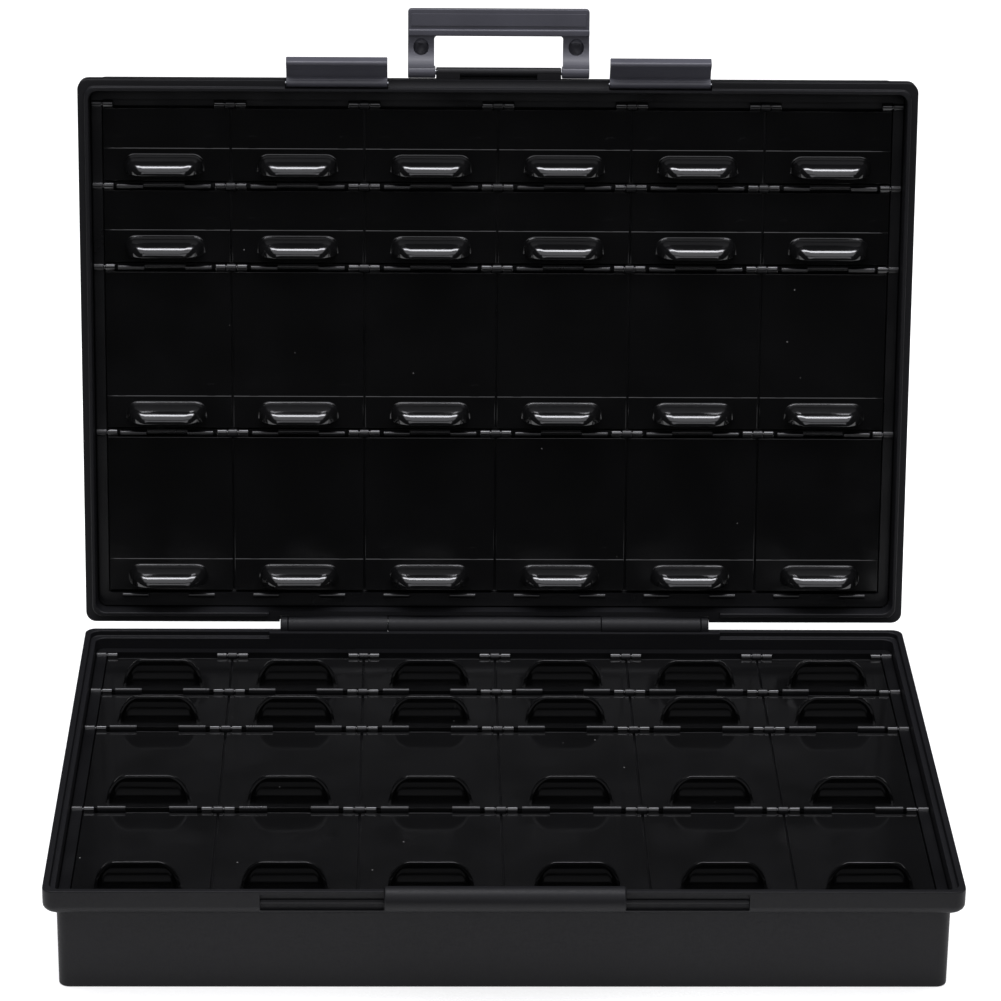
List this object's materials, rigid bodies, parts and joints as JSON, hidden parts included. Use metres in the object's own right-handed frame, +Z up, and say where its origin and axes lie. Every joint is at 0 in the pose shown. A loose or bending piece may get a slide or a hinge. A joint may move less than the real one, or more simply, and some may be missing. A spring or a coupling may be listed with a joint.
{
  "type": "compartment storage box",
  "caption": "Hinged black box whose two equal halves each hold a tray of small and large lidded compartments, with a folding handle and snap latches.",
  "frame": {"origin": "middle of the base half's underside", "axes": "+Z up from the surface the box lies on, -Y towards the latches and the user, +X to the right as seen from the user"},
  "size_m": [0.262, 0.2392, 0.2278],
  "materials": {
    "shell_plastic": "fine-grained matt black",
    "tray_plastic": "smooth satin black",
    "lid_plastic": "smooth glossy black",
    "latch_plastic": "satin black",
    "pin_steel": "drawn wire"
  },
  "bodies": {
    "base": {"base_shell": "shell_plastic", "base_tray": "tray_plastic", "hinge_pin": "pin_steel"},
    "lid": {"lid_shell": "shell_plastic", "lid_tray": "tray_plastic", "latch_pin_left": "pin_steel", "latch_pin_right": "pin_steel", "handle_pin": "pin_steel"},
    "latch_left": {"latch_left": "latch_plastic"},
    "latch_right": {"latch_right": "latch_plastic"},
    "handle": {"handle": "latch_plastic"},
    "base_lid_r1_c1": {"base_lid_r1_c1": "lid_plastic"},
    "base_lid_r1_c2": {"base_lid_r1_c2": "lid_plastic"},
    "base_lid_r1_c3": {"base_lid_r1_c3": "lid_plastic"},
    "base_lid_r1_c4": {"base_lid_r1_c4": "lid_plastic"},
    "base_lid_r1_c5": {"base_lid_r1_c5": "lid_plastic"},
    "base_lid_r1_c6": {"base_lid_r1_c6": "lid_plastic"},
    "base_lid_r2_c1": {"base_lid_r2_c1": "lid_plastic"},
    "base_lid_r2_c2": {"base_lid_r2_c2": "lid_plastic"},
    "base_lid_r2_c3": {"base_lid_r2_c3": "lid_plastic"},
    "base_lid_r2_c4": {"base_lid_r2_c4": "lid_plastic"},
    "base_lid_r2_c5": {"base_lid_r2_c5": "lid_plastic"},
    "base_lid_r2_c6": {"base_lid_r2_c6": "lid_plastic"},
    "base_lid_r3_c1": {"base_lid_r3_c1": "lid_plastic"},
    "base_lid_r3_c2": {"base_lid_r3_c2": "lid_plastic"},
    "base_lid_r3_c3": {"base_lid_r3_c3": "lid_plastic"},
    "base_lid_r3_c4": {"base_lid_r3_c4": "lid_plastic"},
    "base_lid_r3_c5": {"base_lid_r3_c5": "lid_plastic"},
    "base_lid_r3_c6": {"base_lid_r3_c6": "lid_plastic"},
    "base_lid_r4_c1": {"base_lid_r4_c1": "lid_plastic"},
    "base_lid_r4_c2": {"base_lid_r4_c2": "lid_plastic"},
    "base_lid_r4_c3": {"base_lid_r4_c3": "lid_plastic"},
    "base_lid_r4_c4": {"base_lid_r4_c4": "lid_plastic"},
    "base_lid_r4_c5": {"base_lid_r4_c5": "lid_plastic"},
    "base_lid_r4_c6": {"base_lid_r4_c6": "lid_plastic"},
    "top_lid_r1_c1": {"top_lid_r1_c1": "lid_plastic"},
    "top_lid_r1_c2": {"top_lid_r1_c2": "lid_plastic"},
    "top_lid_r1_c3": {"top_lid_r1_c3": "lid_plastic"},
    "top_lid_r1_c4": {"top_lid_r1_c4": "lid_plastic"},
    "top_lid_r1_c5": {"top_lid_r1_c5": "lid_plastic"},
    "top_lid_r1_c6": {"top_lid_r1_c6": "lid_plastic"},
    "top_lid_r2_c1": {"top_lid_r2_c1": "lid_plastic"},
    "top_lid_r2_c2": {"top_lid_r2_c2": "lid_plastic"},
    "top_lid_r2_c3": {"top_lid_r2_c3": "lid_plastic"},
    "top_lid_r2_c4": {"top_lid_r2_c4": "lid_plastic"},
    "top_lid_r2_c5": {"top_lid_r2_c5": "lid_plastic"},
    "top_lid_r2_c6": {"top_lid_r2_c6": "lid_plastic"},
    "top_lid_r3_c1": {"top_lid_r3_c1": "lid_plastic"},
    "top_lid_r3_c2": {"top_lid_r3_c2": "lid_plastic"},
    "top_lid_r3_c3": {"top_lid_r3_c3": "lid_plastic"},
    "top_lid_r3_c4": {"top_lid_r3_c4": "lid_plastic"},
    "top_lid_r3_c5": {"top_lid_r3_c5": "lid_plastic"},
    "top_lid_r3_c6": {"top_lid_r3_c6": "lid_plastic"},
    "top_lid_r4_c1": {"top_lid_r4_c1": "lid_plastic"},
    "top_lid_r4_c2": {"top_lid_r4_c2": "lid_plastic"},
    "top_lid_r4_c3": {"top_lid_r4_c3": "lid_plastic"},
    "top_lid_r4_c4": {"top_lid_r4_c4": "lid_plastic"},
    "top_lid_r4_c5": {"top_lid_r4_c5": "lid_plastic"},
    "top_lid_r4_c6": {"top_lid_r4_c6": "lid_plastic"}
  },
  "joints": [
    {"name": "lid_hinge", "type": "hinge", "parent": "base", "child": "lid", "pos_m": [0, 0.0889, 0.03315], "axis": [-1, 0, 0], "range_deg": [-99, 0]},
    {"name": "latch_left_hinge", "type": "hinge", "parent": "lid", "child": "latch_left", "pos_m": [-0.0504, 0.11835, 0.20597], "axis": [-1, 0, 0], "range_deg": [-60, 45]},
    {"name": "latch_right_hinge", "type": "hinge", "parent": "lid", "child": "latch_right", "pos_m": [0.0504, 0.11835, 0.20597], "axis": [-1, 0, 0], "range_deg": [-60, 45]},
    {"name": "handle_hinge", "type": "hinge", "parent": "lid", "child": "handle", "pos_m": [0, 0.12133, 0.20884], "axis": [-1, 0, 0], "range_deg": [-90, 0]},
    {"name": "base_lid_r1_c1_hinge", "type": "hinge", "parent": "base", "child": "base_lid_r1_c1", "pos_m": [-0.10475, 0.0791, 0.0272], "axis": [-1, 0, 0], "range_deg": [0, 86]},
    {"name": "base_lid_r1_c2_hinge", "type": "hinge", "parent": "base", "child": "base_lid_r1_c2", "pos_m": [-0.06285, 0.0791, 0.0272], "axis": [-1, 0, 0], "range_deg": [0, 86]},
    {"name": "base_lid_r1_c3_hinge", "type": "hinge", "parent": "base", "child": "base_lid_r1_c3", "pos_m": [-0.02095, 0.0791, 0.0272], "axis": [-1, 0, 0], "range_deg": [0, 86]},
    {"name": "base_lid_r1_c4_hinge", "type": "hinge", "parent": "base", "child": "base_lid_r1_c4", "pos_m": [0.02095, 0.0791, 0.0272], "axis": [-1, 0, 0], "range_deg": [0, 86]},
    {"name": "base_lid_r1_c5_hinge", "type": "hinge", "parent": "base", "child": "base_lid_r1_c5", "pos_m": [0.06285, 0.0791, 0.0272], "axis": [-1, 0, 0], "range_deg": [0, 86]},
    {"name": "base_lid_r1_c6_hinge", "type": "hinge", "parent": "base", "child": "base_lid_r1_c6", "pos_m": [0.10475, 0.0791, 0.0272], "axis": [-1, 0, 0], "range_deg": [0, 86]},
    {"name": "base_lid_r2_c1_hinge", "type": "hinge", "parent": "base", "child": "base_lid_r2_c1", "pos_m": [-0.10475, 0.0531, 0.0272], "axis": [-1, 0, 0], "range_deg": [0, 100]},
    {"name": "base_lid_r2_c2_hinge", "type": "hinge", "parent": "base", "child": "base_lid_r2_c2", "pos_m": [-0.06285, 0.0531, 0.0272], "axis": [-1, 0, 0], "range_deg": [0, 100]},
    {"name": "base_lid_r2_c3_hinge", "type": "hinge", "parent": "base", "child": "base_lid_r2_c3", "pos_m": [-0.02095, 0.0531, 0.0272], "axis": [-1, 0, 0], "range_deg": [0, 100]},
    {"name": "base_lid_r2_c4_hinge", "type": "hinge", "parent": "base", "child": "base_lid_r2_c4", "pos_m": [0.02095, 0.0531, 0.0272], "axis": [-1, 0, 0], "range_deg": [0, 100]},
    {"name": "base_lid_r2_c5_hinge", "type": "hinge", "parent": "base", "child": "base_lid_r2_c5", "pos_m": [0.06285, 0.0531, 0.0272], "axis": [-1, 0, 0], "range_deg": [0, 100]},
    {"name": "base_lid_r2_c6_hinge", "type": "hinge", "parent": "base", "child": "base_lid_r2_c6", "pos_m": [0.10475, 0.0531, 0.0272], "axis": [-1, 0, 0], "range_deg": [0, 100]},
    {"name": "base_lid_r3_c1_hinge", "type": "hinge", "parent": "base", "child": "base_lid_r3_c1", "pos_m": [-0.10475, 0.0271, 0.0272], "axis": [-1, 0, 0], "range_deg": [0, 100]},
    {"name": "base_lid_r3_c2_hinge", "type": "hinge", "parent": "base", "child": "base_lid_r3_c2", "pos_m": [-0.06285, 0.0271, 0.0272], "axis": [-1, 0, 0], "range_deg": [0, 100]},
    {"name": "base_lid_r3_c3_hinge", "type": "hinge", "parent": "base", "child": "base_lid_r3_c3", "pos_m": [-0.02095, 0.0271, 0.0272], "axis": [-1, 0, 0], "range_deg": [0, 100]},
    {"name": "base_lid_r3_c4_hinge", "type": "hinge", "parent": "base", "child": "base_lid_r3_c4", "pos_m": [0.02095, 0.0271, 0.0272], "axis": [-1, 0, 0], "range_deg": [0, 100]},
    {"name": "base_lid_r3_c5_hinge", "type": "hinge", "parent": "base", "child": "base_lid_r3_c5", "pos_m": [0.06285, 0.0271, 0.0272], "axis": [-1, 0, 0], "range_deg": [0, 100]},
    {"name": "base_lid_r3_c6_hinge", "type": "hinge", "parent": "base", "child": "base_lid_r3_c6", "pos_m": [0.10475, 0.0271, 0.0272], "axis": [-1, 0, 0], "range_deg": [0, 100]},
    {"name": "base_lid_r4_c1_hinge", "type": "hinge", "parent": "base", "child": "base_lid_r4_c1", "pos_m": [-0.10475, -0.0265, 0.0272], "axis": [-1, 0, 0], "range_deg": [0, 100]},
    {"name": "base_lid_r4_c2_hinge", "type": "hinge", "parent": "base", "child": "base_lid_r4_c2", "pos_m": [-0.06285, -0.0265, 0.0272], "axis": [-1, 0, 0], "range_deg": [0, 100]},
    {"name": "base_lid_r4_c3_hinge", "type": "hinge", "parent": "base", "child": "base_lid_r4_c3", "pos_m": [-0.02095, -0.0265, 0.0272], "axis": [-1, 0, 0], "range_deg": [0, 100]},
    {"name": "base_lid_r4_c4_hinge", "type": "hinge", "parent": "base", "child": "base_lid_r4_c4", "pos_m": [0.02095, -0.0265, 0.0272], "axis": [-1, 0, 0], "range_deg": [0, 100]},
    {"name": "base_lid_r4_c5_hinge", "type": "hinge", "parent": "base", "child": "base_lid_r4_c5", "pos_m": [0.06285, -0.0265, 0.0272], "axis": [-1, 0, 0], "range_deg": [0, 100]},
    {"name": "base_lid_r4_c6_hinge", "type": "hinge", "parent": "base", "child": "base_lid_r4_c6", "pos_m": [0.10475, -0.0265, 0.0272], "axis": [-1, 0, 0], "range_deg": [0, 100]},
    {"name": "top_lid_r1_c1_hinge", "type": "hinge", "parent": "lid", "child": "top_lid_r1_c1", "pos_m": [-0.10475, 0.12106, 0.19815], "axis": [-1, 0, 0], "range_deg": [0, 100]},
    {"name": "top_lid_r1_c2_hinge", "type": "hinge", "parent": "lid", "child": "top_lid_r1_c2", "pos_m": [-0.06285, 0.12106, 0.19815], "axis": [-1, 0, 0], "range_deg": [0, 100]},
    {"name": "top_lid_r1_c3_hinge", "type": "hinge", "parent": "lid", "child": "top_lid_r1_c3", "pos_m": [-0.02095, 0.12106, 0.19815], "axis": [-1, 0, 0], "range_deg": [0, 100]},
    {"name": "top_lid_r1_c4_hinge", "type": "hinge", "parent": "lid", "child": "top_lid_r1_c4", "pos_m": [0.02095, 0.12106, 0.19815], "axis": [-1, 0, 0], "range_deg": [0, 100]},
    {"name": "top_lid_r1_c5_hinge", "type": "hinge", "parent": "lid", "child": "top_lid_r1_c5", "pos_m": [0.06285, 0.12106, 0.19815], "axis": [-1, 0, 0], "range_deg": [0, 100]},
    {"name": "top_lid_r1_c6_hinge", "type": "hinge", "parent": "lid", "child": "top_lid_r1_c6", "pos_m": [0.10475, 0.12106, 0.19815], "axis": [-1, 0, 0], "range_deg": [0, 100]},
    {"name": "top_lid_r2_c1_hinge", "type": "hinge", "parent": "lid", "child": "top_lid_r2_c1", "pos_m": [-0.10475, 0.11699, 0.17247], "axis": [-1, 0, 0], "range_deg": [0, 100]},
    {"name": "top_lid_r2_c2_hinge", "type": "hinge", "parent": "lid", "child": "top_lid_r2_c2", "pos_m": [-0.06285, 0.11699, 0.17247], "axis": [-1, 0, 0], "range_deg": [0, 100]},
    {"name": "top_lid_r2_c3_hinge", "type": "hinge", "parent": "lid", "child": "top_lid_r2_c3", "pos_m": [-0.02095, 0.11699, 0.17247], "axis": [-1, 0, 0], "range_deg": [0, 100]},
    {"name": "top_lid_r2_c4_hinge", "type": "hinge", "parent": "lid", "child": "top_lid_r2_c4", "pos_m": [0.02095, 0.11699, 0.17247], "axis": [-1, 0, 0], "range_deg": [0, 100]},
    {"name": "top_lid_r2_c5_hinge", "type": "hinge", "parent": "lid", "child": "top_lid_r2_c5", "pos_m": [0.06285, 0.11699, 0.17247], "axis": [-1, 0, 0], "range_deg": [0, 100]},
    {"name": "top_lid_r2_c6_hinge", "type": "hinge", "parent": "lid", "child": "top_lid_r2_c6", "pos_m": [0.10475, 0.11699, 0.17247], "axis": [-1, 0, 0], "range_deg": [0, 100]},
    {"name": "top_lid_r3_c1_hinge", "type": "hinge", "parent": "lid", "child": "top_lid_r3_c1", "pos_m": [-0.10475, 0.11292, 0.14679], "axis": [-1, 0, 0], "range_deg": [0, 100]},
    {"name": "top_lid_r3_c2_hinge", "type": "hinge", "parent": "lid", "child": "top_lid_r3_c2", "pos_m": [-0.06285, 0.11292, 0.14679], "axis": [-1, 0, 0], "range_deg": [0, 100]},
    {"name": "top_lid_r3_c3_hinge", "type": "hinge", "parent": "lid", "child": "top_lid_r3_c3", "pos_m": [-0.02095, 0.11292, 0.14679], "axis": [-1, 0, 0], "range_deg": [0, 100]},
    {"name": "top_lid_r3_c4_hinge", "type": "hinge", "parent": "lid", "child": "top_lid_r3_c4", "pos_m": [0.02095, 0.11292, 0.14679], "axis": [-1, 0, 0], "range_deg": [0, 100]},
    {"name": "top_lid_r3_c5_hinge", "type": "hinge", "parent": "lid", "child": "top_lid_r3_c5", "pos_m": [0.06285, 0.11292, 0.14679], "axis": [-1, 0, 0], "range_deg": [0, 100]},
    {"name": "top_lid_r3_c6_hinge", "type": "hinge", "parent": "lid", "child": "top_lid_r3_c6", "pos_m": [0.10475, 0.11292, 0.14679], "axis": [-1, 0, 0], "range_deg": [0, 100]},
    {"name": "top_lid_r4_c1_hinge", "type": "hinge", "parent": "lid", "child": "top_lid_r4_c1", "pos_m": [-0.10475, 0.10454, 0.09385], "axis": [-1, 0, 0], "range_deg": [0, 100]},
    {"name": "top_lid_r4_c2_hinge", "type": "hinge", "parent": "lid", "child": "top_lid_r4_c2", "pos_m": [-0.06285, 0.10454, 0.09385], "axis": [-1, 0, 0], "range_deg": [0, 100]},
    {"name": "top_lid_r4_c3_hinge", "type": "hinge", "parent": "lid", "child": "top_lid_r4_c3", "pos_m": [-0.02095, 0.10454, 0.09385], "axis": [-1, 0, 0], "range_deg": [0, 100]},
    {"name": "top_lid_r4_c4_hinge", "type": "hinge", "parent": "lid", "child": "top_lid_r4_c4", "pos_m": [0.02095, 0.10454, 0.09385], "axis": [-1, 0, 0], "range_deg": [0, 100]},
    {"name": "top_lid_r4_c5_hinge", "type": "hinge", "parent": "lid", "child": "top_lid_r4_c5", "pos_m": [0.06285, 0.10454, 0.09385], "axis": [-1, 0, 0], "range_deg": [0, 100]},
    {"name": "top_lid_r4_c6_hinge", "type": "hinge", "parent": "lid", "child": "top_lid_r4_c6", "pos_m": [0.10475, 0.10454, 0.09385], "axis": [-1, 0, 0], "range_deg": [0, 100]}
  ]
}
